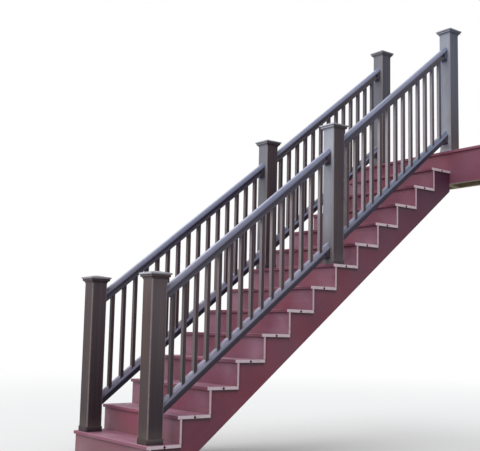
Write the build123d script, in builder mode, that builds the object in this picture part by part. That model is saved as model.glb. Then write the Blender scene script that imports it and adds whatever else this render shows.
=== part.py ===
"""Straight flight of deck stairs with closed risers, raked guards on both sides and the strip of deck edge
that carries its head. Millimetres. X runs across the flight with the climber's right at +X, Y runs in the
direction of climb, Z is up. The origin is the middle of the back face of the ledger, which bolts to a deck."""
import math
import os

from build123d import *

# Steps
rise = 192.0
run = 245.0
riser_count = 14
stair_width = 1070.0

# Boards of treads and risers
board_width = 140.0
board_thickness = 24.0
board_gap = 7.0
board_edge_radius = 3.0
nosing = 18.0
riser_thickness = 19.0
tread_tail_gap = 3.0

# Sawn carriages and the skirt boards that cover the outer ones
stringer_thickness = 38.0
stringer_depth = 264.0
skirt_thickness = 19.0
skirt_depth = 273.0
skirt_setback = 10.0
foot_cleat_width = 89.0
foot_cleat_thickness = 38.0

# Strip of deck edge at the head
head_side_run = 360.0
frame_height = 286.0
joist_thickness = 38.0
fascia_thickness = 19.0
head_joist_count = 5

# Newels and caps
newel_size = 127.0
newel_height = 1130.0
top_newel_height = 1162.0
newel_inset = 36.5
newel_nosing_setback = 24.0
top_newel_nosing_setback = 73.0
middle_newel_step = 8
newel_corner_radius = 8.0
base_trim_height = 40.0
base_trim_proud = 6.0
base_trim_bevel = 4.0
cap_overhang = 23.0
cap_cove_height = 18.0
cap_band_height = 16.0
cap_band_proud = 15.0
cap_rim_height = 12.0
cap_peak_height = 14.0
cap_peak_flat = 30.0

# Guards: heights are plumb above the line through the nosings, profile sizes are square to the rail
guard_height = 952.0
guard_head_gain = 28.0
bottom_rail_clearance = 66.0
rail_crown_width = 70.0
rail_crown_side = 4.0
rail_web_width = 42.0
rail_lip_width = 54.0
rail_lip_height = 10.0
top_rail_crown_height = 34.0
top_rail_web_height = 31.0
top_rail_land = 30.0
foot_rail_crown_height = 23.0
foot_rail_web_height = 20.0
foot_rail_land = 40.0
baluster_size = 30.0
baluster_pitch = 101.0
spacer_height = 24.0
spacer_width = 32.0

# Everything below follows from the sizes above
slope = math.atan2(rise, run)
plumb = 1 / math.cos(slope)
tread_count = riser_count - 1
head_depth = 2 * board_width + board_gap - nosing
head_width = stair_width + 2 * head_side_run
deck_level = board_thickness + frame_height / 2


def level(step):
    """Height of the walking surface of a step; the deck itself is step riser_count."""
    return deck_level - (riser_count - step) * rise


def riser_face(step):
    """Front face of the riser below a step."""
    return -head_depth - (riser_count - step) * run


def nosing_line(y):
    """Height of the line that touches every nosing."""
    return level(1) + (y - riser_face(1) + nosing) * math.tan(slope)


ground = level(1) - rise


def carriage_outline(depth, cleat=False):
    """Outline of a sawn carriage: notches for treads, risers and the foot cleat, plumb head, level foot."""
    front, tip = riser_face(1) + riser_thickness, level(1) - board_thickness
    if cleat:
        cleat_back, cleat_top = front + foot_cleat_width, ground + foot_cleat_thickness
        points = [(cleat_back, ground), (cleat_back, cleat_top), (front, cleat_top)]
    else:
        points = [(front, ground)]
    for step in range(1, tread_count + 1):
        seat = level(step) - board_thickness
        back = riser_face(step + 1) + riser_thickness if step < tread_count else riser_face(riser_count)
        points += [(riser_face(step) + riser_thickness, seat), (back, seat)]

    def edge(y):
        return tip + (y - front) * math.tan(slope) - depth * plumb

    head = riser_face(riser_count)
    points += [(head, edge(head)), (front + (ground - edge(front)) / math.tan(slope), ground)]
    return points


os.makedirs("parts", exist_ok=True)

# Carriages and skirts
skirt_outer = stair_width / 2 - skirt_setback
skirt_inner = skirt_outer - skirt_thickness
stringer_reach = skirt_inner - stringer_thickness / 2
for name, x in (("left", -stringer_reach), ("middle", 0.0), ("right", stringer_reach)):
    with BuildPart() as stringer:
        with BuildSketch(Plane.YZ.offset(x - stringer_thickness / 2)):
            with BuildLine():
                Polyline(*carriage_outline(stringer_depth, cleat=True), close=True)
            make_face()
        extrude(amount=stringer_thickness)
    stringer.part.label = f"stringer_{name}"
    export_step(stringer.part, f"parts/stringer_{name}.step")

for name, x in (("left", -skirt_outer), ("right", skirt_inner)):
    with BuildPart() as skirt:
        with BuildSketch(Plane.YZ.offset(x)):
            with BuildLine():
                Polyline(*carriage_outline(skirt_depth), close=True)
            make_face()
        extrude(amount=skirt_thickness)
    skirt.part.label = f"skirt_{name}"
    export_step(skirt.part, f"parts/skirt_{name}.step")

# Cleat that is let into the carriages' feet and holds them against the thrust of the flight
cleat_reach = 2 * stringer_reach + stringer_thickness
with BuildPart() as foot_cleat:
    with Locations((0, riser_face(1) + riser_thickness, ground)):
        Box(cleat_reach, foot_cleat_width, foot_cleat_thickness, align=(Align.CENTER, Align.MIN, Align.MIN))
foot_cleat.part.label = "foot_cleat"
export_step(foot_cleat.part, "parts/foot_cleat.step")

# Treads, two boards each: the rear one is ripped to end under the riser behind it
for step in range(1, tread_count + 1):
    front = riser_face(step) - nosing
    joint = front + board_width + board_gap
    if step < tread_count:
        tail = riser_face(step + 1) + riser_thickness - tread_tail_gap
    else:
        tail = riser_face(riser_count)
    with BuildPart() as tread:
        with BuildSketch(Plane.YZ.offset(-stair_width / 2)):
            with Locations((front + board_width / 2, level(step) - board_thickness / 2)):
                RectangleRounded(board_width, board_thickness, board_edge_radius)
            with Locations(((joint + tail) / 2, level(step) - board_thickness / 2)):
                RectangleRounded(tail - joint, board_thickness, board_edge_radius)
        extrude(amount=stair_width)
    tread.part.label = f"tread_{step:02d}"
    export_step(tread.part, f"parts/tread_{step:02d}.step")

# Risers stand on the tread below and reach up to the underside of the tread above
with BuildPart() as risers:
    for step in range(1, tread_count + 1):
        foot = ground if step == 1 else level(step - 1)
        top = level(step) - board_thickness
        with Locations((0, riser_face(step), foot)):
            Box(stair_width, riser_thickness, top - foot, align=(Align.CENTER, Align.MIN, Align.MIN))
risers.part.label = "risers"
export_step(risers.part, "parts/risers.step")

# Head: fascia, rim joist, short joists, ledger and two landing boards
frame_top = deck_level - board_thickness
frame_bottom = frame_top - frame_height
rim_front = -head_depth + fascia_thickness
with BuildPart() as deck_fascia:
    with Locations((0, -head_depth, frame_bottom)):
        Box(head_width, fascia_thickness, frame_height, align=(Align.CENTER, Align.MIN, Align.MIN))
deck_fascia.part.label = "deck_fascia"
export_step(deck_fascia.part, "parts/deck_fascia.step")

with BuildPart() as rim_joist:
    with Locations((0, rim_front, frame_bottom)):
        Box(head_width, joist_thickness, frame_height, align=(Align.CENTER, Align.MIN, Align.MIN))
rim_joist.part.label = "rim_joist"
export_step(rim_joist.part, "parts/rim_joist.step")

with BuildPart() as ledger:
    with Locations((0, 0, frame_bottom)):
        Box(head_width, joist_thickness, frame_height, align=(Align.CENTER, Align.MAX, Align.MIN))
ledger.part.label = "ledger"
export_step(ledger.part, "parts/ledger.step")

joist_length = -joist_thickness - (rim_front + joist_thickness)
joist_spread = (head_width - joist_thickness) / (head_joist_count - 1)
with BuildPart() as head_joists:
    with Locations((0, -joist_thickness - joist_length / 2, frame_bottom + frame_height / 2)):
        with GridLocations(joist_spread, 0, head_joist_count, 1):
            Box(joist_thickness, joist_length, frame_height)
head_joists.part.label = "head_joists"
export_step(head_joists.part, "parts/head_joists.step")

with BuildPart() as landing_boards:
    with BuildSketch(Plane.YZ.offset(-head_width / 2)):
        for near_edge in (-head_depth - nosing, -board_width):
            with Locations((near_edge + board_width / 2, deck_level - board_thickness / 2)):
                RectangleRounded(board_width, board_thickness, board_edge_radius)
    extrude(amount=head_width)
landing_boards.part.label = "landing_boards"
export_step(landing_boards.part, "parts/landing_boards.step")

# Newels: sleeve with eased corners and a low trim round its foot
newel_steps = {"bottom": 1, "middle": middle_newel_step, "top": riser_count}
newel_x = stair_width / 2 - newel_inset - newel_size / 2


def newel_front(step):
    setback = top_newel_nosing_setback if step == riser_count else newel_nosing_setback
    return riser_face(step) - nosing + setback


def newel_top(step):
    return top_newel_height if step == riser_count else newel_height


cap_seats = []
for side, sign in (("left", -1), ("right", 1)):
    for place, step in newel_steps.items():
        spot = Location((sign * newel_x, newel_front(step) + newel_size / 2, level(step)))
        cap_seats.append(spot * Location((0, 0, newel_top(step))))
        with BuildPart() as newel:
            with BuildSketch(Plane(spot)):
                RectangleRounded(newel_size, newel_size, newel_corner_radius)
            extrude(amount=newel_top(step))
            trim_size = newel_size + 2 * base_trim_proud
            trim_radius = newel_corner_radius + base_trim_proud
            with BuildSketch(Plane(spot)):
                RectangleRounded(trim_size, trim_size, trim_radius)
            extrude(amount=base_trim_height - base_trim_bevel)
            with BuildSketch(Plane(spot).offset(base_trim_height - base_trim_bevel)):
                RectangleRounded(trim_size, trim_size, trim_radius)
            extrude(amount=base_trim_bevel, taper=45)
        newel.part.label = f"newel_{side}_{place}"
        export_step(newel.part, f"parts/newel_{side}_{place}.step")

# Caps: cove that swells from the newel to a flat band, under a thin rim with a low hipped top. The same outline
# is pushed along X and along Y, and what both share is the cap with its mitred corners.
cap_size = newel_size + 2 * cap_overhang


def cap_profile():
    """Upright outline through the middle of a cap."""
    neck, band, rim = newel_size / 2, newel_size / 2 + cap_band_proud, cap_size / 2
    band_top = cap_cove_height + cap_band_height
    rim_top = band_top + cap_rim_height
    with BuildSketch() as profile:
        with BuildLine():
            Line((0, 0), (neck, 0))
            TangentArc((neck, 0), (band, cap_cove_height), tangent=(0, 1))
            Polyline((band, cap_cove_height), (band, band_top), (rim, band_top), (rim, rim_top),
                     (cap_peak_flat / 2, rim_top + cap_peak_height), (0, rim_top + cap_peak_height))
            mirror(about=Plane.YZ)
        make_face()
    return profile.sketch


with BuildPart() as cap:
    with BuildSketch(Plane.XZ):
        add(cap_profile())
    extrude(amount=cap_size / 2, both=True)
    with BuildSketch(Plane.YZ):
        add(cap_profile())
    extrude(amount=cap_size / 2, both=True, mode=Mode.INTERSECT)

with BuildPart() as newel_caps:
    for seat in cap_seats:
        add(cap.part.moved(seat))
newel_caps.part.label = "newel_caps"
export_step(newel_caps.part, "parts/newel_caps.step")

# Guards: profiles are drawn on the newel's plumb face and pushed along the pitch of the rail
top_rail_depth = top_rail_crown_height + top_rail_web_height + rail_lip_height
foot_rail_depth = foot_rail_crown_height + foot_rail_web_height + rail_lip_height


def rail_section(crown_height, web_height, land, stretch):
    """Crowned rail section on its plumb end, stretched so that it is true to size square to the rail."""
    lip, web, crown, flat = rail_lip_width / 2, rail_web_width / 2, rail_crown_width / 2, land / 2
    web_foot, shoulder = rail_lip_height * stretch, (rail_lip_height + web_height) * stretch
    side = shoulder + rail_crown_side * stretch
    top = shoulder + crown_height * stretch
    with BuildSketch() as section:
        with BuildLine():
            Polyline((0, 0), (lip, 0), (lip, web_foot), (web, web_foot), (web, shoulder), (crown, shoulder),
                     (crown, side))
            TangentArc((crown, side), (flat, top), tangent=(0, 1))
            Line((flat, top), (0, top))
            mirror(about=Plane.YZ)
        make_face()
    return section.sketch


def stretch_of(line, start, end):
    """How much longer a raked line between two newels is than its level run."""
    return math.hypot(end - start, line(end) - line(start)) / (end - start)


bays = []
for side, sign in (("left", -1), ("right", 1)):
    bays.append((side, sign, "lower", 1, middle_newel_step))
    bays.append((side, sign, "upper", middle_newel_step, riser_count))

spacer_faces = []
for side, sign, bay, low_step, high_step in bays:
    start = newel_front(low_step) + newel_size
    end = newel_front(high_step)
    gain = guard_head_gain if high_step == riser_count else 0

    def guard_top(y):
        return nosing_line(y) + guard_height + gain * (y - start) / (end - start)

    top_stretch = stretch_of(guard_top, start, end)

    def guard_underside(y):
        return guard_top(y) - top_rail_depth * top_stretch

    def foot_underside(y):
        return nosing_line(y) + bottom_rail_clearance

    def foot_top(y):
        return foot_underside(y) + foot_rail_depth * plumb

    for kind, underside, stretch, crown_height, web_height, land in (
        ("top_rail", guard_underside, top_stretch, top_rail_crown_height, top_rail_web_height, top_rail_land),
        ("bottom_rail", foot_underside, plumb, foot_rail_crown_height, foot_rail_web_height, foot_rail_land),
    ):
        face = Plane((sign * newel_x, start, underside(start)), x_dir=(1, 0, 0), z_dir=(0, -1, 0))
        with BuildPart() as rail:
            with BuildSketch(face):
                add(rail_section(crown_height, web_height, land, stretch))
            extrude(amount=(end - start) * stretch, dir=Vector(0, end - start, underside(end) - underside(start)))
        rail.part.label = f"{kind}_{side}_{bay}"
        export_step(rail.part, f"parts/{kind}_{side}_{bay}.step")

    baluster_count = int((end - start) // baluster_pitch)
    spread = (baluster_count - 1) * baluster_pitch
    first = (start + end - spread) / 2
    with BuildPart() as balusters:
        for i in range(baluster_count):
            a = first + i * baluster_pitch - baluster_size / 2
            b = a + baluster_size
            with BuildSketch(Plane.YZ.offset(sign * newel_x - baluster_size / 2)):
                with BuildLine():
                    Polyline((a, foot_top(a)), (b, foot_top(b)), (b, guard_underside(b)), (a, guard_underside(a)),
                             close=True)
                make_face()
            extrude(amount=baluster_size)
    balusters.part.label = f"balusters_{side}_{bay}"
    export_step(balusters.part, f"parts/balusters_{side}_{bay}.step")

    stops = [start] + [first + i * baluster_pitch + s * baluster_size / 2
                       for i in range(baluster_count) for s in (-1, 1)] + [end]
    for a, b in zip(stops[0::2], stops[1::2]):
        spacer_faces.append((sign * newel_x, a, foot_top(a), b, foot_top(b)))

# Spacer blocks fill the bottom rail's top between the balusters
spacer_rise = spacer_height * plumb
with BuildPart() as rail_spacers:
    for x, a, a_foot, b, b_foot in spacer_faces:
        with BuildSketch(Plane.YZ.offset(x - spacer_width / 2)):
            with BuildLine():
                Polyline((a, a_foot), (b, b_foot), (b, b_foot + spacer_rise), (a, a_foot + spacer_rise), close=True)
            make_face()
        extrude(amount=spacer_width)
rail_spacers.part.label = "rail_spacers"
export_step(rail_spacers.part, "parts/rail_spacers.step")
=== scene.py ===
"""Dresses a packed flight of deck stairs: eased boards, moulded rails, caps, screws, weathered finishes."""

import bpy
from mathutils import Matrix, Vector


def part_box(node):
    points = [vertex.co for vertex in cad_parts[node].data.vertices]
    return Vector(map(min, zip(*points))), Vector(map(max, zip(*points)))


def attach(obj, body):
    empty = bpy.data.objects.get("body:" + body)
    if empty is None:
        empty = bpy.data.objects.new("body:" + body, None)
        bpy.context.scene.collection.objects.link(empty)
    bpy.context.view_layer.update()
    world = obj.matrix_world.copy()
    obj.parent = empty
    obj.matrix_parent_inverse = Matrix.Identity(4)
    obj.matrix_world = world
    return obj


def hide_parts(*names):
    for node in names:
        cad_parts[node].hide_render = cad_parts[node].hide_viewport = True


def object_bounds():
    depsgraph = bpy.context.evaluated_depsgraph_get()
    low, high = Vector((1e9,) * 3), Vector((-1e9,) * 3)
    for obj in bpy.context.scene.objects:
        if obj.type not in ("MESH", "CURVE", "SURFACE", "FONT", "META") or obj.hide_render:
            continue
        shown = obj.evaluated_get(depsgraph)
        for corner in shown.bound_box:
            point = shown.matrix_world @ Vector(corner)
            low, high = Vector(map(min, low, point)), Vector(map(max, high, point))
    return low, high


bl_info = {
    "name": "Deck Stairs Dressing",
    "version": (1, 0, 0),
    "blender": (4, 5, 0),
    "location": "View3D > Sidebar > Stairs",
    "description": "Builds the boards, guards, screws and weathered finishes of deck stairs",
    "category": "Object",
}

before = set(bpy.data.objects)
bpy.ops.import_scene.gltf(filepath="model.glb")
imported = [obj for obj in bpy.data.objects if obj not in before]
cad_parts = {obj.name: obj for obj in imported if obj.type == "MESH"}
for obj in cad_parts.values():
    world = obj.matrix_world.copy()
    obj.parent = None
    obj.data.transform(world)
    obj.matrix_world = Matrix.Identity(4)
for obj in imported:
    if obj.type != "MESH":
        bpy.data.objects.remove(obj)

import math
import random

import bmesh
import bpy
from bpy.props import FloatProperty, FloatVectorProperty, IntProperty, PointerProperty
from mathutils import Matrix, Vector

CAD_BOX = [[float(c) for c in corner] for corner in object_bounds()]

SIDES = ("left", "right")
BAYS = ("lower", "upper")
NEWELS = [f"newel_{side}_{place}" for side in SIDES for place in ("bottom", "middle", "top")]
TREADS = sorted(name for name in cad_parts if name.startswith("tread_"))

first_tread, second_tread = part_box(TREADS[0])[1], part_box(TREADS[1])[1]
RISE, RUN = second_tread.z - first_tread.z, second_tread.y - first_tread.y
SLOPE = math.atan2(RISE, RUN)
# The first notch of a skirt board: its riser's back and its tread's underside
NOTCH = Vector((0.0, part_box("skirt_right")[0].y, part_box(TREADS[0])[0].z))
GROUND = CAD_BOX[0][2]

# Metres within which places count as one: on a new mesh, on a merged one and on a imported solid
TINY, SNAP, NEAR = 1e-6, 1e-5, 1e-4

# Added to the seed, so that each group of pieces draws tones of its own
DRAWS = {"treads": 0, "risers": 40, "carriages": 60, "newels": 80, "caps": 100, "rails": 120,
         "balusters": 140, "spacers": 150, "brackets": 160, "screws": 170}

# Which way and how far the grain moves between boards of different tones
GRAIN_SHIFT, GRAIN_REACH = (7.3, 3.1, 5.7), 9.0

# Screws of a skirt board: metres back from the front edge of each tread, and down from its underside
SKIRT_SCREWS = ((0.085, 0.045), (0.20, 0.045), (0.12, 0.16))

# The floor: its radius, its middle along Y, its depth under the flight and where it fades to white
FLOOR_RADIUS, FLOOR_MIDDLE, FLOOR_DROP, FLOOR_FADE = 40.0, -1.7, 0.0015, (4.5, 13.0)


def length(name, description, default):
    return FloatProperty(name=name, description=description, default=default, min=0.0, unit="LENGTH")


def colour(name, description, default):
    return FloatVectorProperty(name=name, description=description, default=default, size=3, min=0.0, max=1.0,
                               subtype="COLOR")


def power(name, description, default):
    return FloatProperty(name=name, description=description, default=default, min=0.0)


class StairSizes(bpy.types.PropertyGroup):
    """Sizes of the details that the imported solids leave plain."""

    board_width: length("Board width", "Width of a whole deck board", 0.140)
    board_gap: length("Board gap", "Gap between the two boards of a tread", 0.007)
    board_ease: length("Board rounding", "Radius on the long edges of a deck board", 0.003)
    groove_height: length("Groove height", "Height of the clip groove in a board's edge", 0.010)
    groove_depth: length("Groove depth", "Depth of the clip groove", 0.0065)
    groove_rise: length("Groove place", "Height of the groove over its board's underside", 0.004)
    sawn_ease: length("Sawn edge", "Chamfer on sawn edges", 0.0012)
    end_ease: length("Tread end edge", "Chamfer round the sawn ends of a tread", 0.0006)
    nosing: length("Nosing", "How far a tread stands out past its riser", 0.018)
    newel_ease: length("Newel rounding", "Radius on the corners of a newel sleeve", 0.008)
    trim_height: length("Trim height", "Height of the trim round the foot of a newel", 0.040)
    trim_proud: length("Trim thickness", "How far the trim stands out from the newel", 0.006)
    trim_bevel: length("Trim bevel", "Bevel along the top of the trim", 0.004)
    cap_overhang: length("Cap overhang", "How far a cap stands out past its newel", 0.023)
    cap_cove: length("Cap cove", "Height of the coved neck of a cap", 0.018)
    cap_band: length("Cap band", "Height of the flat band over the cove", 0.016)
    cap_band_proud: length("Cap band reach", "How far the band stands out past the newel", 0.015)
    cap_rim: length("Cap rim", "Height of the rim of a cap", 0.012)
    cap_peak: length("Cap peak", "Rise of the hipped top of a cap", 0.014)
    cap_flat: length("Cap flat", "Width of the flat on top of a cap", 0.030)
    cap_ease: length("Cap rounding", "Radius on the edges of a cap's band and rim", 0.0015)
    crown_width: length("Rail crown width", "Width of a rail's crown", 0.070)
    crown_side: length("Crown side", "Height of the straight side of a rail's crown", 0.004)
    top_crown: length("Top rail crown", "Height of a top rail's crown", 0.034)
    top_web: length("Top rail web", "Height of a top rail's web", 0.031)
    top_land: length("Top rail land", "Width of the flat along a top rail", 0.030)
    foot_crown: length("Bottom rail crown", "Height of a bottom rail's crown", 0.023)
    foot_web: length("Bottom rail web", "Height of a bottom rail's web", 0.020)
    foot_land: length("Bottom rail land", "Width of the flat along a bottom rail", 0.040)
    web_width: length("Rail web width", "Width of a rail's web", 0.042)
    lip_width: length("Rail lip width", "Width of the lip under a rail", 0.054)
    lip_height: length("Rail lip height", "Height of the lip under a rail", 0.010)
    bracket_reach: length("Bracket reach", "How far a bracket runs along its rail", 0.034)
    bracket_width: length("Bracket width", "Width of a bracket", 0.066)
    bracket_toe: length("Bracket toe", "Thickness of the lower end of a bracket", 0.004)
    bracket_nose: length("Bracket nose", "Height of the blunt front of a bracket", 0.004)
    top_bracket: length("Top bracket", "Height of a bracket under a top rail", 0.048)
    foot_bracket: length("Bottom bracket", "Height of a bracket under a bottom rail", 0.040)
    bracket_ease: length("Bracket edge", "Chamfer on the edges of a bracket", 0.0012)
    moulded_ease: length("Moulded edge", "Rounding on the small edges of rails and balusters", 0.002)
    block_round: length("Block rounding", "Radius on the upper edges of a spacer block", 0.009)
    screw_head: length("Screw head", "Diameter of a deck screw's head", 0.0085)
    screw_height: length("Screw height", "Height of a screw's head, half of it in the board", 0.0012)
    screw_recess: length("Screw recess", "Depth of the recess in a screw's head", 0.0009)
    screw_margin: length("Screw margin", "Distance of a screw from the edge of its board", 0.024)
    screw_back: length("Rear screws", "Distance of a tread's rear screws from its rear edge", 0.0384)
    screw_under: length("Upper riser screws", "Distance of a riser's upper screws from its tread", 0.032)
    screw_over: length("Lower riser screws", "Distance of a riser's lower screws from the tread below", 0.040)
    fascia_margin: length("Fascia screws", "Distance of the fascia's screws from its long edges", 0.035)
    joist_thickness: length("Joist thickness", "Thickness of a joist under the landing boards", 0.038)


class StairColours(bpy.types.PropertyGroup):
    """Colours of the finishes."""

    board: colour("Board", "Composite board out of the weather", (0.196, 0.040, 0.078))
    board_red: colour("Board red", "Redder patches of the boards", (0.255, 0.042, 0.068))
    # Board bloom: partly a chalky film, partly a painted sky sheen on faces turned up and to the front
    board_bloom_sheen: colour("Board bloom", "Chalky film on boards that face the weather", (0.40, 0.22, 0.29))
    # Painted shadow of the deck on the upper skirt boards
    board_shade: colour("Board shade", "Dark, damp board under the deck", (0.070, 0.018, 0.043))
    cut_end: colour("Cut end", "Pale core in the sawn ends of treads", (0.70, 0.57, 0.62))
    cut_end_pink: colour("Cut end pink", "Pinker core of the riser boards", (0.66, 0.47, 0.53))
    # Painted contact shadow under tread ends, beside riser ends and under nosings
    contact_shadow: colour("Grime", "Dark line where boards meet", (0.035, 0.020, 0.026))
    rail: colour("Railing", "Dark composite of the railing", (0.055, 0.041, 0.055))
    rail_warm: colour("Railing warm", "Warmer streaks in the railing", (0.084, 0.060, 0.054))
    rail_cool: colour("Railing cool", "Bluish composite of the rails", (0.036, 0.030, 0.060))
    # Lighter rounded edges: partly rubbed, partly a painted highlight
    rail_worn: colour("Railing worn", "Rubbed edges of the railing", (0.36, 0.30, 0.30))
    # Crown colours: painted sky sheen and highlight on the rails, over some faded film
    rail_bloom: colour("Rail bloom", "Faded film on the crowns of the lower rails", (0.70, 0.72, 1.0))
    rail_bloom_high: colour("Rail bloom above", "Bluer film on the upper rails' crowns", (0.58, 0.67, 1.0))
    rail_sheen: colour("Rail sheen", "Rubbed top of the crowns of the lower rails", (0.90, 0.92, 1.0))
    # Painted bluish sky cast on the highest newels and balusters
    rail_haze: colour("Railing haze", "Bluish cast on the highest newels and balusters", (0.40, 0.66, 1.0))
    # Newel and baluster films: faded film, with a painted sky sheen that brightens them higher up
    sleeve_film: colour("Newel film", "Faded film on the upper newels", (0.57, 0.60, 0.68))
    sleeve_film_low: colour("Newel film below", "Brown film on the lower newels", (0.155, 0.08, 0.045))
    stick_film: colour("Baluster film", "Faded film on the upper balusters", (0.63, 0.56, 0.61))
    stick_film_low: colour("Baluster film below", "Film on the lower balusters", (0.50, 0.42, 0.42))
    block: colour("Spacer block", "Blocks between the balusters", (0.23, 0.28, 0.37))
    # The lower blocks are paler as painted sky light
    block_sky_lit_low: colour("Spacer block below", "Blocks of the lower bays", (0.42, 0.41, 0.53))
    lumber: colour("Lumber", "Treated softwood of the frame", (0.46, 0.38, 0.23))
    lumber_late: colour("Lumber latewood", "Darker bands of the softwood", (0.27, 0.205, 0.115))
    lumber_grey: colour("Lumber grey", "Softwood greyed by the weather", (0.27, 0.27, 0.235))
    dirt: colour("Dirt", "Splashed soil and dust", (0.17, 0.135, 0.115))
    screw: colour("Screw", "Coated screw heads", (0.10, 0.045, 0.05))
    screw_bare: colour("Bare screw", "Bare metal where the coating is worn off", (0.30, 0.28, 0.27))


class StairStage(bpy.types.PropertyGroup):
    """Camera, light and floor."""

    eye: FloatVectorProperty(name="Camera place", description="Where the camera stands", size=3,
                             unit="LENGTH", subtype="TRANSLATION", default=(5.5357, -6.5588, -1.5486))
    sight: FloatVectorProperty(name="Camera direction", description="Direction in which the camera looks",
                               size=3, subtype="DIRECTION", default=(-0.78741, 0.60392, 0.12357))
    roll: FloatProperty(name="Camera roll", description="Turn of the camera about its line of sight",
                        default=0.0216, subtype="ANGLE")
    lens: FloatProperty(name="Lens", description="Focal length on a sensor 36 mm wide", default=63.83,
                        unit="CAMERA")
    floor: colour("Floor", "Pale floor as the camera sees it", (0.80, 0.80, 0.79))
    floor_bounce: colour("Floor bounce", "Colour of the light that the floor throws back", (0.34, 0.34, 0.34))
    key: power("Key light", "Strength of the broad light from the front", 2.3)
    side: power("Side light", "Strength of the light on the right side", 0.6)
    back: power("Back light", "Strength of the light from behind", 0.4)
    sky: power("Sky light", "Strength of the even light from all round", 0.45)
    sky_tint: colour("Sky tint", "Colour of the even light", (0.93, 0.95, 1.0))
    seed: IntProperty(name="Seed", description="Picks the tones of the single boards", default=7)


# Shading


def operators(operation):
    """An operator on values, and its reflected form."""
    return (lambda self, other: self._math(operation, self, other),
            lambda self, other: self._math(operation, other, self))


class Value:
    """A shader output. Sums, differences, products and quotients of values add Math nodes."""

    def __init__(self, tree, socket):
        self.tree, self.socket = tree, socket

    def _math(self, operation, first, second):
        return self.tree.node("Math", {"operation": operation}, {0: first, 1: second})

    __add__, __radd__ = operators("ADD")
    __sub__, __rsub__ = operators("SUBTRACT")
    __mul__, __rmul__ = operators("MULTIPLY")
    __truediv__, __rtruediv__ = operators("DIVIDE")

    def __neg__(self):
        return self._math("MULTIPLY", self, -1.0)

    def floor_at(self, least):
        return self._math("MAXIMUM", self, least)

    def whole(self):
        return self._math("FLOOR", self, 0.0)

    def sway(self, reach):
        """Turns a value from 0 to 1 into a shift of up to half the reach either way."""
        return (self - 0.5) * reach


class Tree:
    """The node tree of one finish, or of the sky."""

    def __init__(self, owner):
        owner.use_nodes = True
        self.owner, self.tree, self.body = owner, owner.node_tree, None
        self.tree.nodes.clear()

    def node(self, kind, settings=None, sockets=None, out=0):
        made = self.tree.nodes.new("ShaderNode" + kind)
        for key, value in (settings or {}).items():
            setattr(made, key, value)
        for key, value in (sockets or {}).items():
            if isinstance(value, Value):
                self.tree.links.new(value.socket, made.inputs[key])
            else:
                made.inputs[key].default_value = value
        return Value(self, made.outputs[out]) if made.outputs else made

    def mix(self, factor, first, second):
        return self.node("Mix", {"data_type": "RGBA"}, {0: factor, 6: first, 7: second}, out=2)

    def step(self, value, low, high, to_low=0.0, to_high=1.0):
        return self.node("MapRange", {"interpolation_type": "SMOOTHSTEP"},
                         {0: value, 1: low, 2: high, 3: to_low, 4: to_high})

    def climb(self, height, low, high, *to):
        """A step between two heights over the ground."""
        return self.step(height, GROUND + low, GROUND + high, *to)

    def noise(self, where, scale, detail=3.0, roughness=0.55, distortion=0.0):
        return self.node("TexNoise", None, {"Vector": where, "Scale": scale, "Detail": detail,
                                            "Roughness": roughness, "Distortion": distortion})

    def mark(self, name):
        """One of the marks that a mesh carries on its faces and corners."""
        return self.node("Attribute", {"attribute_name": name}, out="Fac")

    def axes(self, vector):
        return [self.node("SeparateXYZ", None, {0: vector}, out=axis) for axis in range(3)]

    def place(self):
        return self.node("TexCoord", out="Object")

    def facing(self):
        return self.axes(self.node("NewGeometry", out="Normal"))

    def seen(self):
        """1 on rays that show the backdrop, straight or in gloss or glass, and 0 on the rest."""
        camera, gloss, glass = [self.node("LightPath", out=f"Is {ray} Ray")
                                for ray in ("Camera", "Glossy", "Transmission")]
        return camera + gloss + glass

    def grain(self, run, reach=0.9, width=0.03):
        """Object coordinates stretched along a board's grain and moved for each board."""
        size = [width, width, width]
        size[{"x": 0, "y": 1, "slope": 1, "z": 2}[run]] = reach
        turn = (SLOPE if run == "slope" else 0.0, 0.0, 0.0)
        drawn = self.node("Mapping", {"vector_type": "TEXTURE"},
                          {"Vector": self.place(), "Rotation": turn, "Scale": size})
        shift = self.node("VectorMath", {"operation": "SCALE"},
                          {0: GRAIN_SHIFT, "Scale": self.mark("tone") * GRAIN_REACH})
        return self.node("VectorMath", {"operation": "ADD"}, {0: drawn, 1: shift})

    def bump(self, height, strength, distance):
        return self.node("Bump", None, {"Height": height, "Strength": strength, "Distance": distance})

    def cover(self, amount, shade, strength=1.0):
        """Covers the body colour with an amount of a shade, which may vary over the surface."""
        self.body = self.mix(amount, self.body, shade if isinstance(shade, Value) else paint(shade, strength))

    def surface(self, **sockets):
        """Ends the tree of a material, and returns the material."""
        sockets = {key.replace("_", " "): value for key, value in sockets.items()}
        shader = self.node("BsdfPrincipled", None, {"Base Color": self.body, **sockets})
        self.node("OutputMaterial", None, {"Surface": shader})
        return self.owner


def paint(shade, strength=1.0):
    return (*(part * strength for part in shade), 1.0)


def new_finish(name):
    """The tree of a new material, with the colours of the finishes."""
    return Tree(bpy.data.materials.new(name)), bpy.context.scene.stair_colours


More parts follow.
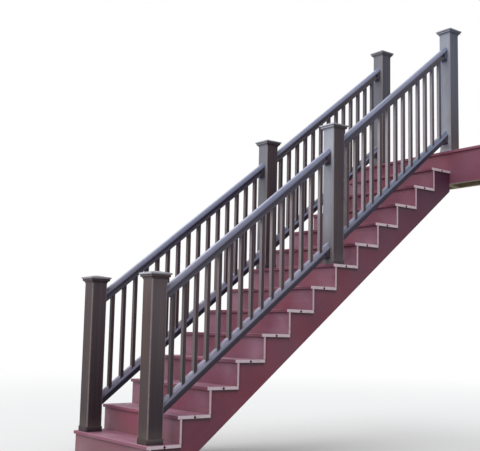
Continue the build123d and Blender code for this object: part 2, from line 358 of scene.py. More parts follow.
def composite_boards(name, run, bloom_sheen_top, bloom_sheen_front, bloom_sheen_side=0.05, middle=(1.0, 1.0), depth=1.0,
                     soil=0.0, head_shadow=0.0, notched=False, nosing_shadow=0.0):
    """Capped composite decking: streaked burgundy with redder patches, under a chalky film that also carries a
    painted sky sheen on tops and fronts.

    Middle is the part of the film and sheen that feet leave in mid-flight, at the foot and above. Depth is the
    strength of the colour, and head_shadow a painted shadow of the deck that darkens the upper steps. Notched
    boards get a painted contact shadow under the tread ends and beside the riser ends that meet them, and
    nosing_shadow is a painted shadow along a board's top, under a nosing."""
    t, shades = new_finish(name)
    where, along = t.place(), t.grain(run)
    broad = t.noise(along, 1.0, 4.0, 0.6, 0.5)
    fine = t.noise(along, 5.0, 3.0, 0.65)
    patches = t.noise(where, 2.6, 3.0, 0.55)
    speck = t.noise(where, 90.0, 2.0, 0.6)
    tone = t.mark("tone")
    _, side_y, up = t.facing()
    across, forward, height = t.axes(where)

    streaks = t.step(broad, 0.34, 0.66)
    t.body = t.mix(streaks, paint(shades.board, depth * 0.93), paint(shades.board, depth * 1.07))
    redder = t.step(patches + tone.sway(0.18), 0.46, 0.62) * 0.6
    t.cover(redder, shades.board_red, depth)
    t.cover(t.step(fine, 0.58, 0.80) * 0.25, shades.board, depth * 0.68)

    film = t.step(t.noise(where, 1.9, 4.0, 0.6) + fine.sway(0.25) + tone.sway(0.12), 0.34, 0.64, 0.42, 1.0)
    walked = t.step(across * across, 0.02, 0.20, t.climb(height, 0.40, 0.80, *middle), 1.0)
    # Chalky film and painted sky sheen, strongest on tops and fronts
    weather = (up.floor_at(0.0) * bloom_sheen_top + (-side_y).floor_at(0.0) * bloom_sheen_front) * walked + bloom_sheen_side
    t.cover(weather * film, shades.board_bloom_sheen)
    # Painted shadow of the deck over the upper steps
    if head_shadow:
        t.cover(t.climb(height, 0.9, 2.6) * head_shadow, shades.board_shade)
    # Lighter eased edges: partly rubbed, partly a painted edge highlight
    t.cover(t.mark("worn") * t.step(speck, 0.35, 0.7, 0.25, 0.55), shades.board_bloom_sheen)

    if soil:
        low = 1.0 - t.step(t.mark("foot") + t.noise(where, 14.0, 4.0, 0.7).sway(0.5), 0.0, 0.30)
        t.cover(low * soil, shades.dirt)
        near_ground = 1.0 - t.climb(height + t.noise(where, 7.0, 4.0, 0.7).sway(0.4), 0.0, 0.45)
        t.cover(near_ground * t.step(speck, 0.4, 0.62, 0.2, 0.8) * 0.8, shades.dirt)
    # Painted contact shadow on a skirt: a dark line and smear under each tread's end and beside each riser's
    # end
    if notched:
        steps = (forward - NOTCH.y) / RUN
        under = NOTCH.z + steps.whole() * RISE - height
        behind = (steps - steps.whole()) * RUN
        beside = (1.0 - t.step(behind, 0.004, 0.016)) * 0.6 + (1.0 - t.step(behind, 0.012, 0.035)) * 0.15
        below = (1.0 - t.step(under, 0.006, 0.030)) * 0.6 + (1.0 - t.step(under, 0.01, 0.06)) * 0.18
        t.cover(below + beside * (1.0 - t.step(under, RISE - 0.002, RISE)), shades.contact_shadow)
    # Painted shadow along a riser's top, under the nosing above
    if nosing_shadow:
        t.cover(t.step(t.mark("foot"), 0.88, 0.97) * nosing_shadow, shades.contact_shadow)

    relief = broad * 0.5 + fine * 0.7 + speck * 0.15
    return t.surface(Roughness=t.step(fine + patches, 0.7, 1.3, 0.46, 0.62),
                     Normal=t.bump(relief, 0.35, 0.0009), Specular_IOR_Level=0.3)


def sawn_ends(name, core):
    """Pale core of a composite board, speckled, with soil in its pores."""
    t, shades = new_finish(name)
    where, core = t.place(), getattr(shades, core)
    grit = t.noise(where, 420.0, 3.0, 0.7)
    smudge = t.noise(where, 24.0, 3.0, 0.6)
    t.body = t.mix(t.step(grit, 0.35, 0.7), paint(core, 0.84), paint(core, 1.12))
    t.cover(t.step(smudge, 0.52, 0.78) * 0.4, shades.dirt)
    return t.surface(Roughness=0.72, Normal=t.bump(grit, 0.4, 0.0006))


def crown_sheens(t, up, height, side, top, steep_sheen, edge):
    """Painted sky sheen, over some faded film, on the sides and on the top of a rail's crown. Each pair holds
    for the foot and the head of the flight, and steep_sheen is the part of the side sheen left on faces that
    turn up less than edge, where it leaves painted shade."""
    sheen_left_on_steep = t.step(up, edge - 0.30, edge, t.climb(height, 1.6, 2.8, *steep_sheen), 1.0)
    return t.climb(height, 1.0, 3.3, *side) * sheen_left_on_steep, t.climb(height, 1.4, 3.2, *top)


def railing(name, run, tones=("rail", "rail_warm"), films=("sleeve_film_low", "sleeve_film"), front=0.0,
            front_low=0.03, top=0.0, flank_sheen=0.0, rim=0.0, crown=None, foot_soil=0.0, gloss=0.0):
    """Satin dark composite with a fine grain, under a faded film that also carries a painted sky sheen; painted
    shade darkens it towards the ground and on the left side of the flight.

    Tones name the dark and the light of the grain, and films the colours of the film and its painted sheen at
    the foot and the head of the flight. Front and front_low are the film and painted sheen on the front side,
    at the head and the foot, top that on level faces, flank_sheen a painted sheen on low faces to the right and
    rim a pale film and painted reflection on a cap's rim. Crown is for a rail's crown_sheens, and what has none
    takes a painted bluish sky cast high up. Gloss is a clear coat."""
    t, shades = new_finish(name)
    tones, films = [[getattr(shades, part) for part in pair] for pair in (tones, films)]
    where, along = t.place(), t.grain(run, 0.5, 0.012)
    broad = t.noise(along, 0.6, 3.0, 0.6, 0.3)
    fine = t.noise(along, 3.0, 3.0, 0.65)
    speck = t.noise(where, 130.0, 2.0, 0.6)
    tone = t.mark("tone")
    side_x, side_y, up = t.facing()
    across, _, height = t.axes(where)
    # Painted light and shade: darker towards the ground and on the left side, more painted sky sheen higher up
    lit_above_ground = t.climb(height, 0.10, 1.30, 0.52, 1.0)
    side_light_share = t.step(across, -0.5, 0.4, 0.46, 1.0)
    sky_sheen_by_height = t.climb(height, 1.0, 2.15)

    t.body = t.mix(t.step(broad + tone.sway(0.15), 0.36, 0.68), paint(tones[0]), paint(tones[1]))
    t.cover(t.step(fine, 0.56, 0.8) * 0.30, tones[0], 0.65)
    # Painted shade towards the ground
    t.cover(1.0 - lit_above_ground, tones[0], 0.2)
    # Painted bluish sky cast high up
    if not crown:
        t.cover(t.climb(height, 2.5, 3.5) * 0.10 * side_light_share, shades.rail_haze)

    film = t.step(t.noise(where, 3.1, 4.0, 0.6) + fine.sway(0.3) + tone.sway(0.2), 0.28, 0.70, 0.76, 1.0)
    # Colour and strength of the film and painted sky sheen on the front faces
    film_sheen_colour = t.mix(sky_sheen_by_height, paint(films[0]), paint(films[1]))
    front_sheen = (sky_sheen_by_height * (front - front_low) + lit_above_ground * front_low) * t.climb(height, 2.7, 3.5, 1.0, 0.74)
    weather = ((-side_y).floor_at(0.0) * front_sheen + t.step(up, 0.05, 0.75) * top) * side_light_share
    # Painted sky sheen on the right faces of the low pieces
    if flank_sheen:
        low_flank = side_x.floor_at(0.0) * t.step(t.mark("foot"), 0.2, 1.0) * (1.0 - sky_sheen_by_height) * side_light_share
        t.cover(low_flank * flank_sheen, shades.stick_film_low)
    # Pale cap rim: partly film, partly painted sky reflection
    if rim:
        weather = weather + t.mark("crown") * rim
        film_sheen_colour = t.mix(t.mark("crown"), film_sheen_colour, paint(films[1]))
    # Painted sky highlight on the rail crowns, bright on top and fading down the sides
    if crown:
        side_sheen, top_sheen = crown_sheens(t, up, height, **crown)
        brow = t.step(up, 0.66, 0.93)
        weather = weather + t.mark("crown") * (side_sheen + brow * (top_sheen - side_sheen))
        film_sheen_colour = t.mix(brow * t.climb(height, 1.5, 2.6, 1.0, 0.0), film_sheen_colour, paint(shades.rail_sheen))
    t.cover(weather * film, film_sheen_colour)
    # Lighter rounded edges: partly rubbed, partly a painted highlight
    t.cover(t.mark("worn") * t.step(speck, 0.3, 0.7, 0.30, 0.65), shades.rail_worn)
    if foot_soil:
        low = 1.0 - t.step(t.mark("foot") + t.noise(where, 11.0, 4.0, 0.7).sway(0.12), 0.0, 0.14)
        t.cover(low * foot_soil, shades.dirt)
    return t.surface(Roughness=t.step(fine + film, 0.8, 1.5, 0.36, 0.52),
                     Normal=t.bump(fine * 0.8 + speck * 0.2, 0.22, 0.0006),
                     Specular_IOR_Level=0.10 if gloss else 0.18, Coat_Weight=gloss, Coat_Roughness=0.14)


def spacer_blocks(name):
    """Lavender-grey moulded blocks, dusty along their lower edges; paler low in the flight as painted sky
    light, and darker on faces that turn down as painted shade.
    """
    t, shades = new_finish(name)
    where = t.place()
    dust = t.noise(where, 18.0, 4.0, 0.65)
    _, _, up = t.facing()
    # The lower blocks are paler as painted sky light
    t.body = t.mix(t.climb(t.axes(where)[2], 1.4, 2.4), paint(shades.block_sky_lit_low), paint(shades.block))
    t.cover(t.step(dust + t.mark("tone").sway(0.3), 0.35, 0.7) * 0.25, shades.rail)
    # Painted shade on faces that turn down
    t.cover((1.0 - t.step(up, -0.2, 0.5)) * 0.12, shades.rail)
    t.cover((1.0 - t.step(t.mark("foot"), 0.0, 0.35)) * 0.15, shades.dirt, 0.7)
    return t.surface(Roughness=0.5, Normal=t.bump(dust, 0.2, 0.0008))


def treated_lumber(name, run):
    """Rough treated softwood: growth bands along the board, small knots, grey weathering."""
    t, shades = new_finish(name)
    where, along = t.place(), t.grain(run, 0.55, 0.045)
    warp = t.noise(along, 1.0, 2.0, 0.5)
    bands = t.step(t.noise(along, 2.4, 1.0, 0.4, 0.9), 0.40, 0.62)
    fibre = t.noise(along, 9.0, 4.0, 0.7)
    knots = 1.0 - t.step(t.node("TexVoronoi", {"feature": "F1"}, {"Vector": along, "Scale": 0.9}), 0.03, 0.16)
    t.body = t.mix(bands, paint(shades.lumber), paint(shades.lumber_late))
    t.cover(t.step(fibre, 0.45, 0.75) * 0.4, shades.lumber_late, 0.7)
    t.cover(knots * 0.75, shades.lumber_late, 0.5)
    greyed = t.step(t.noise(where, 2.2, 3.0, 0.6) + warp * 0.2, 0.5, 0.8) * 0.45
    t.cover(greyed, shades.lumber_grey)
    return t.surface(Roughness=t.step(fibre, 0.3, 0.7, 0.66, 0.84),
                     Normal=t.bump(bands * 0.4 + fibre * 0.7, 0.5, 0.0010))


def coated_screws(name):
    """Coated steel, worn to the metal in small specks."""
    t, shades = new_finish(name)
    bare = t.step(t.noise(t.place(), 700.0, 2.0, 0.6), 0.60, 0.72)
    t.body = t.mix(bare, paint(shades.screw), paint(shades.screw_bare))
    return t.surface(Roughness=0.42 - bare * 0.08)


# Modelling


def new_shape():
    """An empty bmesh with the marks that the finishes read."""
    bm = bmesh.new()
    # worn lightens edges, rubbed and painted highlight; crown places painted sky sheen on crowns and rims
    for layers, marks in ((bm.faces.layers, ("tone", "worn")), (bm.verts.layers, ("foot", "crown"))):
        for mark in marks:
            layers.float.new(mark)
    return bm


def mesh_of(name, bm):
    """Writes a bmesh to a new mesh and frees it."""
    mesh = bpy.data.meshes.new(name)
    bm.to_mesh(mesh)
    bm.free()
    return mesh


def turned(degrees, axis):
    return Matrix.Rotation(math.radians(degrees), 4, axis)


def aimed(direction):
    """Turns a lamp or a camera to look in a direction."""
    return Vector(direction).to_track_quat("-Z", "Y").to_matrix().to_4x4()


def bay_nodes(kind):
    """The nodes of one kind of piece, bay by bay."""
    return [f"{kind}_{side}_{bay}" for side in SIDES for bay in BAYS]


def add_block(bm, low, high):
    low, high = Vector(low), Vector(high)
    place = Matrix.Translation((low + high) / 2) @ Matrix.Diagonal((*(high - low), 1.0))
    return bmesh.ops.create_cube(bm, size=1.0, matrix=place)["verts"]


def push(bm, faces, reach):
    """Extrudes faces along a vector."""
    made = bmesh.ops.extrude_face_region(bm, geom=faces)["geom"]
    bmesh.ops.translate(bm, vec=reach, verts=[v for v in made if isinstance(v, bmesh.types.BMVert)])


def ease(bm, parts, width, segments=2, wear_and_glint=1.0, affect="EDGES"):
    """Rounds edges or corners and marks how much the new faces are lightened: rubbed edges, and a painted edge
    highlight.
    """
    made = bmesh.ops.bevel(bm, geom=list(parts), offset=width, offset_type="OFFSET", affect=affect,
                           segments=segments, profile=0.5, material=-1, clamp_overlap=affect == "EDGES")
    worn = bm.faces.layers.float["worn"]
    for face in made["faces"]:
        face[worn] = wear_and_glint


def edges_along(bm, axis):
    """Edges that run along an axis."""
    return [e for e in bm.edges if abs((e.verts[1].co - e.verts[0].co).normalized()[axis]) > 0.999]


def end_faces(bm):
    """Faces across the ends of boards that run along X."""
    bm.normal_update()
    return [f for f in bm.faces if abs(f.normal.x) > 0.9]


def taken_from(node):
    """A CAD node's solids with their triangles joined back into whole faces."""
    bm = new_shape()
    bm.from_mesh(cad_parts[node].data)
    bmesh.ops.remove_doubles(bm, verts=bm.verts, dist=SNAP)
    bmesh.ops.dissolve_limit(bm, angle_limit=math.radians(1.0), verts=bm.verts, edges=bm.edges)
    return bm


def mark_boards(bm, draw):
    """Gives each loose board a tone of its own, and each corner its height above the board's foot."""
    chance = random.Random(bpy.context.scene.stair_stage.seed + draw)
    tone, foot = bm.faces.layers.float["tone"], bm.verts.layers.float["foot"]
    for vert in bm.verts:
        vert.tag = False
    for start in bm.verts:
        if start.tag:
            continue
        start.tag = True
        board, shade = [start], chance.random()
        for vert in board:
            for edge in vert.link_edges:
                other = edge.other_vert(vert)
                if not other.tag:
                    other.tag = True
                    board.append(other)
        low, high = min(v.co.z for v in board), max(v.co.z for v in board)
        for vert in board:
            vert[foot] = (vert.co.z - low) / max(high - low, TINY)
            for face in vert.link_faces:
                face[tone] = shade


def show(name, bm, finishes, draw, stands_for=(), smooth_below=None):
    """Turns a bmesh into a piece that rides on the flight, with its tones drawn."""
    mark_boards(bm, draw)
    mesh = mesh_of(name, bm)
    for finish in finishes:
        mesh.materials.append(finish)
    if smooth_below:
        mesh.shade_smooth()
        mesh.set_sharp_from_angle(angle=math.radians(smooth_below))
    made = bpy.data.objects.new(name, mesh)
    bpy.context.scene.collection.objects.link(made)
    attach(made, "root")
    if stands_for:
        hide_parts(*stands_for)


def show_boards(node, bm, face_finish, end_finish, draw):
    """Shows boards that run along X, with a finish of their own on their sawn ends."""
    for face in end_faces(bm):
        face.material_index = 1
    show(node + "_boards", bm, [face_finish, end_finish], draw, [node])


def stamp(bm, template, place):
    """Adds a placed copy of a template mesh."""
    start = len(bm.verts)
    bm.from_mesh(template)
    bm.verts.ensure_lookup_table()
    bmesh.ops.transform(bm, matrix=place, verts=bm.verts[start:])


def upright_arc(bm, start, across, up, steps):
    """Goes on from a vertex in an arc that leaves it upright and ends across and up from it."""
    reach = abs(across)
    radius = (reach * reach + up * up) / (2.0 * reach)
    made = bmesh.ops.spin(bm, geom=[start], cent=start.co + Vector((math.copysign(radius, across), 0.0, 0.0)),
                          axis=(0.0, 1.0, 0.0), angle=math.copysign(math.atan2(up, radius - reach), across),
                          steps=steps, use_merge=False)
    return next(v for v in made["geom_last"] if isinstance(v, bmesh.types.BMVert))


def straight_run(bm, start, points):
    """Goes on from a vertex through points in the XZ plane, and returns the last vertex."""
    for x, z in points:
        point = bm.verts.new((x, 0.0, z))
        bm.edges.new((start, point))
        start = point
    return start


def grooved_board(bm, sizes, low, high, plain, joint):
    """A deck board from its plain edge to the joint beside its neighbour, where it has a groove for clips."""
    inward = math.copysign(sizes.groove_depth, plain - joint)
    under, over = low.z + sizes.groove_rise, low.z + sizes.groove_rise + sizes.groove_height
    outline = ((plain, low.z), (joint, low.z), (joint, under), (joint + inward, under),
               (joint + inward, over), (joint, over), (joint, high.z), (plain, high.z))
    face = bm.faces.new([bm.verts.new((low.x, y, z)) for y, z in outline])
    push(bm, [face], (high.x - low.x, 0.0, 0.0))
    bmesh.ops.recalc_face_normals(bm, faces=bm.faces)


def cap_shape(sizes, newel_width):
    """A mitred cap over the middle of a newel's top: a quarter of its outline, spun square."""
    neck = newel_width / 2 - sizes.trim_proud
    reach, band = neck + sizes.cap_overhang, neck + sizes.cap_band_proud
    band_top = sizes.cap_cove + sizes.cap_band
    rim_top = band_top + sizes.cap_rim
    peak = rim_top + sizes.cap_peak

    bm = new_shape()
    swell = upright_arc(bm, bm.verts.new((neck, 0.0, 0.0)), sizes.cap_band_proud, sizes.cap_cove, 6)
    straight_run(bm, swell, ((band, band_top), (reach, band_top), (reach, rim_top),
                             (sizes.cap_flat / 2, peak), (0.0, peak)))
    bmesh.ops.scale(bm, vec=(math.sqrt(2.0), 1.0, 1.0), verts=bm.verts)
    bmesh.ops.rotate(bm, cent=(0.0, 0.0, 0.0), matrix=turned(45.0, "Z").to_3x3(), verts=bm.verts)
    bmesh.ops.spin(bm, geom=bm.verts[:] + bm.edges[:], cent=(0.0, 0.0, 0.0), axis=(0.0, 0.0, 1.0),
                   angle=math.tau, steps=4, use_merge=True)
    bmesh.ops.remove_doubles(bm, verts=bm.verts, dist=SNAP)
    bmesh.ops.holes_fill(bm, edges=[e for e in bm.edges if e.is_boundary], sides=4)
    bmesh.ops.recalc_face_normals(bm, faces=bm.faces)
    rims = [e for e in bm.edges if all(band_top - NEAR < v.co.z < rim_top + NEAR for v in e.verts)
            and len(e.link_faces) == 2 and e.calc_face_angle() > math.radians(20.0)]
    ease(bm, rims, sizes.cap_ease, 2)
    # The rim's pale colour: partly film, partly painted sky reflection
    film = bm.verts.layers.float["crown"]
    for vert in bm.verts:
        vert[film] = float(vert.co.z > band_top + NEAR and vert.co.xy.length > reach * 0.98)
    return bm


def pitch_of(node):
    """Rise of a raked piece for each metre of level reach, from the lowest corners of its plumb ends."""
    low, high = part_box(node)
    corners = [v.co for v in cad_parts[node].data.vertices]
    foot = min(c.z for c in corners if c.y < low.y + NEAR)
    head = min(c.z for c in corners if c.y > high.y - NEAR)
    return (head - foot) / (high.y - low.y)


def rail_section(bm, sizes, stretch, crown_height, web_height, land, lip_sheen):
    """Draws a rail's section on a plumb face, stretched upwards as its rake asks, and marks its crown and lip
    for their painted sky sheen and film. Returns the height of the shoulder under the crown."""
    lip, web, crown = sizes.lip_width / 2, sizes.web_width / 2, sizes.crown_width / 2
    foot, shoulder = sizes.lip_height * stretch, (sizes.lip_height + web_height) * stretch
    side, top = shoulder + sizes.crown_side * stretch, shoulder + crown_height * stretch
    outline = ((lip, 0.0), (lip, foot), (web, foot), (web, shoulder), (crown, shoulder), (crown, side))
    brow = straight_run(bm, bm.verts.new((0.0, 0.0, 0.0)), outline)
    straight_run(bm, upright_arc(bm, brow, land / 2 - crown, top - side, 8), ((0.0, top),))
    bmesh.ops.mirror(bm, geom=bm.verts[:] + bm.edges[:], axis="X", merge_dist=TINY)
    bmesh.ops.edgenet_fill(bm, edges=bm.edges)
    bmesh.ops.dissolve_verts(bm, verts=[v for v in bm.verts if abs(v.co.x) < TINY])
    small = [v for v in bm.verts if v.co.z < shoulder + TINY]
    ease(bm, small, sizes.moulded_ease, 2, wear_and_glint=0.0, affect="VERTICES")
    film = bm.verts.layers.float["crown"]
    for vert in bm.verts:
        if vert.co.z > side - NEAR:
            vert[film] = 1.0
        elif vert.co.z < foot + NEAR:
            vert[film] = lip_sheen
    return shoulder


def add_bracket(bm, sizes, head, pitch, rise, drop):
    """A coved bracket under the head of a rail: it closes round the web and runs down the newel's face. Its
    dark stands in partly for the rail's shadow on the newel.
    """
    first, reach = len(bm.verts), sizes.bracket_reach
    toe = bm.verts.new((-sizes.bracket_toe, 0.0, -drop))
    nose = upright_arc(bm, toe, sizes.bracket_toe - reach, drop - reach * pitch - sizes.bracket_nose, 6)
    heel = straight_run(bm, nose, ((-reach, rise - reach * pitch), (0.0, rise), (0.0, -drop)))
    bm.edges.new((heel, toe))
    cheek = bmesh.ops.edgenet_fill(bm, edges=[e for e in bm.edges if not e.link_faces])["faces"]
    push(bm, cheek, (0.0, sizes.bracket_width, 0.0))
    bm.verts.ensure_lookup_table()
    centred = turned(90.0, "Z") @ Matrix.Translation((0.0, -sizes.bracket_width / 2, 0.0))
    bmesh.ops.transform(bm, matrix=Matrix.Translation(head) @ centred, verts=bm.verts[first:])


def screw_shape(sizes):
    """A low conical head with a recess, half of it over the board."""
    radius = sizes.screw_head / 2
    crown_radius, recess_edge = radius * 0.88, radius * 0.42
    bm = new_shape()
    bmesh.ops.create_cone(bm, cap_ends=True, segments=10, radius1=radius, radius2=crown_radius,
                          depth=sizes.screw_height)
    crown = max(bm.faces, key=lambda f: f.calc_center_median().z)
    bmesh.ops.inset_individual(bm, faces=[crown], thickness=recess_edge)
    bmesh.ops.translate(bm, vec=(0.0, 0.0, -sizes.screw_recess), verts=crown.verts)
    return bm


# Steps


class STAIRS_OT_treads(bpy.types.Operator):
    """Build the tread and landing boards with rounded edges and pale sawn ends"""

    bl_idname = "stairs.treads"
    bl_label = "Treads and Landing"

    def execute(self, context):
        sizes = context.scene.stair_sizes
        faces = composite_boards("tread_boards", "x", 0.95, 0.28)
        ends = sawn_ends("tread_sawn_end", "cut_end")
        for number, node in enumerate(TREADS + ["landing_boards"]):
            low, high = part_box(node)
            joint = low.y + sizes.board_width
            bm = new_shape()
            grooved_board(bm, sizes, low, high, low.y, joint)
            grooved_board(bm, sizes, low, high, high.y, joint + sizes.board_gap)
            corners = [e for e in edges_along(bm, 0)
                       if min(e.verts[0].co.z - low.z, high.z - e.verts[0].co.z) < SNAP]
            ease(bm, corners, sizes.board_ease, 3)
            ease(bm, {e for f in end_faces(bm) for e in f.edges}, sizes.end_ease, 1)
            show_boards(node, bm, faces, ends, DRAWS["treads"] + number)
        return {"FINISHED"}


class STAIRS_OT_risers(bpy.types.Operator):
    """Build the riser boards and the deck's edge board with sawn ends"""

    bl_idname = "stairs.risers"
    bl_label = "Risers and Fascia"

    def execute(self, context):
        sizes = context.scene.stair_sizes
        ends = sawn_ends("riser_sawn_end", "cut_end_pink")
        # Risers: film and painted sky sheen on their fronts, and a painted shadow under the nosings
        riser = composite_boards("riser_boards", "x", 0.4, 0.72, middle=(0.22, 0.35), soil=0.10,
                                 nosing_shadow=0.25)
        fascia = composite_boards("fascia_board", "x", 0.4, 0.25, depth=0.95)
        for node, faces in (("risers", riser), ("deck_fascia", fascia)):
            bm = taken_from(node)
            ease(bm, bm.edges[:], sizes.sawn_ease, 1)
            show_boards(node, bm, faces, ends, DRAWS["risers"])
        return {"FINISHED"}


class STAIRS_OT_carriages(bpy.types.Operator):
    """Build the sawn carriages, the skirt boards over them and the frame at the head"""

    bl_idname = "stairs.carriages"
    bl_label = "Carriages and Frame"

    def execute(self, context):
        sizes = context.scene.stair_sizes
        # Skirts: darker than the risers, partly as painted shade on the stair's side, with a painted deck
        # shadow up top
        skirt = composite_boards("skirt_boards", "slope", 0.3, 0.25, 0.13, depth=0.71, head_shadow=0.95,
                                 notched=True)
        sloped = treated_lumber("sawn_carriages", "slope")
        crossing = treated_lumber("frame_lumber", "x")
        level = treated_lumber("joist_lumber", "y")
        boards = (("skirt_left", skirt), ("skirt_right", skirt), ("stringer_left", sloped),
                  ("stringer_middle", sloped), ("stringer_right", sloped), ("rim_joist", crossing),
                  ("ledger", crossing), ("foot_cleat", crossing), ("head_joists", level))
        for number, (node, finish) in enumerate(boards):
            bm = taken_from(node)
            ease(bm, bm.edges[:], sizes.sawn_ease, 1)
            show(node + "_sawn", bm, [finish], DRAWS["carriages"] + number, [node])
        return {"FINISHED"}


class STAIRS_OT_newels(bpy.types.Operator):
    """Build the newel sleeves and the trims round their feet"""

    bl_idname = "stairs.newels"
    bl_label = "Newels"

    def execute(self, context):
        sizes = context.scene.stair_sizes
        # Newels: film and painted sky sheen on their fronts, painted sheen on their low right faces
        finish = railing("newel_sleeves", "z", front=0.75, front_low=0.30, flank_sheen=0.13, foot_soil=0.3)
        inset = Vector((sizes.trim_proud, sizes.trim_proud, 0.0))
        for number, node in enumerate(NEWELS):
            low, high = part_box(node)
            bm = new_shape()
            add_block(bm, low + inset, high - inset)
            ease(bm, edges_along(bm, 2), sizes.newel_ease, 4)
            trim_top = low.z + sizes.trim_height
            trim = add_block(bm, low, (high.x, high.y, trim_top))
            corners = {e for v in trim for e in v.link_edges if e.verts[0].co.xy == e.verts[1].co.xy}
            ease(bm, corners, sizes.newel_ease + sizes.trim_proud, 4, wear_and_glint=0.0)
            rims = [e for e in bm.edges if all(abs(v.co.z - trim_top) < SNAP for v in e.verts)]
            ease(bm, rims, sizes.trim_bevel, 1, wear_and_glint=0.0)
            show(node + "_sleeve", bm, [finish], DRAWS["newels"] + number, [node])
        return {"FINISHED"}


class STAIRS_OT_caps(bpy.types.Operator):
    """Build the mitred newel caps: cove, rim and low hipped top"""

    bl_idname = "stairs.caps"
    bl_label = "Newel Caps"

    def execute(self, context):
        sizes = context.scene.stair_sizes
        low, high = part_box(NEWELS[0])
        template = mesh_of("cap_template", cap_shape(sizes, high.x - low.x))
        bm = new_shape()
        for node in NEWELS:
            low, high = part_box(node)
            stamp(bm, template, Matrix.Translation(((low.x + high.x) / 2, (low.y + high.y) / 2, high.z)))
        bpy.data.meshes.remove(template)
        # Caps: painted sheen on the low right faces, and a rim that is partly painted reflection
        finish = railing("cap_moulding", "x", front=0.72, front_low=0.30, flank_sheen=0.15, rim=0.42, top=0.30)
        show("newel_caps_mitred", bm, [finish], DRAWS["caps"], ["newel_caps"],
             smooth_below=30.0)
        return {"FINISHED"}


class STAIRS_OT_rails(bpy.types.Operator):
    """Build the top and bottom rails with rounded crowns and plumb ends, and their brackets"""

    bl_idname = "stairs.rails"
    bl_label = "Rails"

    def execute(self, context):
        sizes = context.scene.stair_sizes
        tones, films = ("rail_cool", "rail"), ("rail_bloom", "rail_bloom_high")
        # Rail crowns: painted sky highlight on top, and painted shade where their sides turn down
        top_finish = railing("top_rail_moulding", "slope", tones, films, gloss=0.5,
                             crown=dict(side=(0.24, 0.31), top=(1.0, 0.36), steep_sheen=(0.8, 0.0), edge=0.30))
        foot_finish = railing("bottom_rail_moulding", "slope", tones, films, gloss=0.3,
                              crown=dict(side=(0.28, 0.30), top=(0.50, 0.38), steep_sheen=(0.1, 0.0), edge=0.50))
        # The brackets' dark stands in partly for the rails' shadow on the newels
        dark = railing("rail_brackets", "z", ("rail", "rail"), films, front=0.10, front_low=0.05)
        top_section = (sizes.top_crown, sizes.top_web, sizes.top_land)
        foot_section = (sizes.foot_crown, sizes.foot_web, sizes.foot_land)
        brackets = new_shape()
        for kind, finish, section, lip_sheen, drop in (
            ("top_rail", top_finish, top_section, 0.3, sizes.top_bracket),
            ("bottom_rail", foot_finish, foot_section, 0.0, sizes.foot_bracket),
        ):
            for number, node in enumerate(bay_nodes(kind)):
                low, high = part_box(node)
                middle, reach, pitch = (low.x + high.x) / 2, high.y - low.y, pitch_of(node)
                bm = new_shape()
                shoulder = rail_section(bm, sizes, math.hypot(1.0, pitch), *section, lip_sheen)
                bmesh.ops.translate(bm, vec=(middle, low.y, low.z), verts=bm.verts)
                push(bm, bm.faces[:], (0.0, reach, reach * pitch))
                bmesh.ops.recalc_face_normals(bm, faces=bm.faces)
                show(node + "_moulded", bm, [finish], DRAWS["rails"] + number, [node],
                     smooth_below=28.0)
                add_bracket(brackets, sizes, (middle, high.y, low.z + reach * pitch), pitch, shoulder, drop)
        bmesh.ops.recalc_face_normals(brackets, faces=brackets.faces)
        edges = [e for e in brackets.edges if e.calc_face_angle() > math.radians(40.0)]
        ease(brackets, edges, sizes.bracket_ease, 1, wear_and_glint=0.0)
        show("rail_brackets", brackets, [dark], DRAWS["brackets"], smooth_below=28.0)
        return {"FINISHED"}


class STAIRS_OT_balusters(bpy.types.Operator):
    """Build the balusters and the spacer blocks between them with eased edges"""

    bl_idname = "stairs.balusters"
    bl_label = "Balusters and Spacers"

    def execute(self, context):
        sizes = context.scene.stair_sizes
        # Balusters: film and painted sky sheen on their fronts and tops
        finish = railing("baluster_sticks", "z", films=("stick_film_low", "stick_film"), front=0.70,
                         front_low=0.42, top=0.3)
        for number, node in enumerate(bay_nodes("balusters")):
            bm = taken_from(node)
            ease(bm, edges_along(bm, 2), sizes.moulded_ease, 2)
            show(node + "_sticks", bm, [finish], DRAWS["balusters"] + number, [node])
        bm = taken_from("rail_spacers")
        bm.normal_update()
        ease(bm, {e for f in bm.faces if f.normal.z > 0.5 for e in f.edges}, sizes.block_round, 4)
        show("rail_spacers_blocks", bm, [spacer_blocks("spacer_blocks")], DRAWS["spacers"],
             ["rail_spacers"])
        return {"FINISHED"}


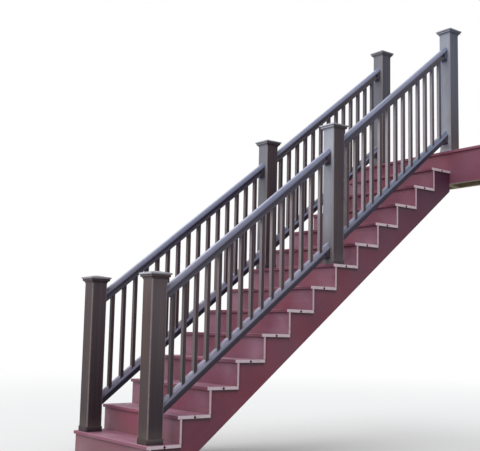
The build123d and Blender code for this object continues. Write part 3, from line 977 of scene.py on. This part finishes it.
class STAIRS_OT_screws(bpy.types.Operator):
    """Set the deck screws in treads, risers, skirts, fascia and landing boards"""

    bl_idname = "stairs.screws"
    bl_label = "Screws"

    def execute(self, context):
        sizes = context.scene.stair_sizes
        margin = sizes.screw_margin
        carriages = [sum(c.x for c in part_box(f"stringer_{side}")) / 2 for side in ("left", "middle", "right")]
        joist_low, joist_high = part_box("head_joists")
        half = (joist_high.x - joist_low.x - sizes.joist_thickness) / 2
        joists = [half * part for part in (-1.0, -0.5, 0.0, 0.5, 1.0)]
        skirt_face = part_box("skirt_right")[1].x
        template = mesh_of("screw_template", screw_shape(sizes))
        bm = new_shape()

        def set_screws(turn, spots):
            for spot in spots:
                stamp(bm, template, Matrix.Translation(spot) @ turn)

        for node in TREADS + ["landing_boards"]:
            low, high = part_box(node)
            joint = low.y + sizes.board_width
            rows = (low.y + margin, joint - margin, joint + sizes.board_gap + margin,
                    high.y - sizes.screw_back)
            bearers = joists if node == "landing_boards" else carriages
            set_screws(Matrix.Identity(4), [(x, y, high.z) for x in bearers for y in rows])
            if node == "landing_boards":
                continue
            rows = (low.z - sizes.screw_under, low.z - RISE + (high.z - low.z) + sizes.screw_over)
            set_screws(turned(90.0, "X"), [(x, low.y + sizes.nosing, z) for x in carriages for z in rows])
            for side in (-1, 1):
                set_screws(turned(side * 90.0, "Y"),
                           [(side * skirt_face, low.y + back, low.z - down) for back, down in SKIRT_SCREWS])
        low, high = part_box("deck_fascia")
        rows = (low.z + sizes.fascia_margin, high.z - sizes.fascia_margin)
        set_screws(turned(90.0, "X"), [(x, low.y, z) for x in joists for z in rows])
        bpy.data.meshes.remove(template)
        show("deck_screws", bm, [coated_screws("coated_screws")], DRAWS["screws"])
        return {"FINISHED"}


class STAIRS_OT_stage(bpy.types.Operator):
    """Set the floor, the soft lights, the pale sky and the camera"""

    bl_idname = "stairs.stage"
    bl_label = "Stage"

    def execute(self, context):
        scene, stage = context.scene, context.scene.stair_stage
        scene.view_settings.view_transform = "Standard"
        white = {"Color": (1.0, 1.0, 1.0, 1.0), "Strength": 1.0}

        bm = bmesh.new()
        middle = Matrix.Translation((0.0, FLOOR_MIDDLE, GROUND - FLOOR_DROP))
        bmesh.ops.create_circle(bm, cap_ends=True, segments=96, radius=FLOOR_RADIUS, matrix=middle)
        mesh = mesh_of("floor", bm)
        floor = bpy.data.objects.new("floor", mesh)
        scene.collection.objects.link(floor)
        t = Tree(bpy.data.materials.new("pale_floor"))
        seen = t.seen()
        away = t.node("VectorMath", {"operation": "LENGTH"}, {0: t.place()}, out="Value")
        tint = t.mix(seen, paint(stage.floor_bounce), paint(stage.floor))
        both = t.node("MixShader", None, {0: t.step(away, *FLOOR_FADE) * seen,
                                          1: t.node("BsdfDiffuse", None, {"Color": tint}),
                                          2: t.node("Emission", None, white)})
        t.node("OutputMaterial", None, {"Surface": both})
        mesh.materials.append(t.owner)

        scene.world = bpy.data.worlds.new("studio")
        t = Tree(scene.world)
        soft = t.node("Background", None, {"Color": paint(stage.sky_tint), "Strength": stage.sky})
        both = t.node("MixShader", None, {0: t.seen(), 1: soft, 2: t.node("Background", None, white)})
        t.node("OutputWorld", None, {"Surface": both})

        for name, strength, spread, toward in (
            ("key", stage.key, 85.0, (0.20, 0.66, -0.72)),
            ("side", stage.side, 90.0, (-0.85, 0.20, -0.48)),
            ("back", stage.back, 90.0, (0.10, -0.80, -0.60)),
        ):
            lamp = bpy.data.lights.new(name, "SUN")
            lamp.energy, lamp.angle = strength, math.radians(spread)
            made = bpy.data.objects.new(name, lamp)
            made.matrix_world = aimed(toward)
            scene.collection.objects.link(made)

        lens = bpy.data.cameras.new("camera")
        lens.sensor_width, lens.sensor_fit, lens.lens = 36.0, "HORIZONTAL", stage.lens
        camera = bpy.data.objects.new("camera", lens)
        camera.matrix_world = (Matrix.Translation(stage.eye) @ aimed(stage.sight)
                               @ Matrix.Rotation(stage.roll, 4, "Z"))
        scene.collection.objects.link(camera)
        scene.camera = camera
        return {"FINISHED"}


GROUPS = {"stair_sizes": StairSizes, "stair_colours": StairColours, "stair_stage": StairStage}
STEPS = (STAIRS_OT_stage, STAIRS_OT_treads, STAIRS_OT_risers, STAIRS_OT_carriages, STAIRS_OT_newels,
         STAIRS_OT_caps, STAIRS_OT_rails, STAIRS_OT_balusters, STAIRS_OT_screws)


class STAIRS_PT_dressing(bpy.types.Panel):
    """Lists the steps that dress the stairs, with their sizes and colours"""

    bl_idname = "STAIRS_PT_dressing"
    bl_label = "Deck Stairs"
    bl_space_type = "VIEW_3D"
    bl_region_type = "UI"
    bl_category = "Stairs"

    def draw(self, context):
        for step in STEPS:
            self.layout.operator(step.bl_idname)
        for group in GROUPS:
            box, values = self.layout.box(), getattr(context.scene, group)
            for name in values.bl_rna.properties.keys():
                if name not in ("rna_type", "name"):
                    box.prop(values, name)


CLASSES = (*GROUPS.values(), *STEPS, STAIRS_PT_dressing)


def register():
    for cls in CLASSES:
        bpy.utils.register_class(cls)
    for name, group in GROUPS.items():
        setattr(bpy.types.Scene, name, PointerProperty(type=group))


def unregister():
    for name in GROUPS:
        delattr(bpy.types.Scene, name)
    for cls in reversed(CLASSES):
        bpy.utils.unregister_class(cls)


def main():
    register()
    for step in STEPS:
        getattr(bpy.ops.stairs, step.bl_idname.partition(".")[2])()


if __name__ == "__main__":
    main()
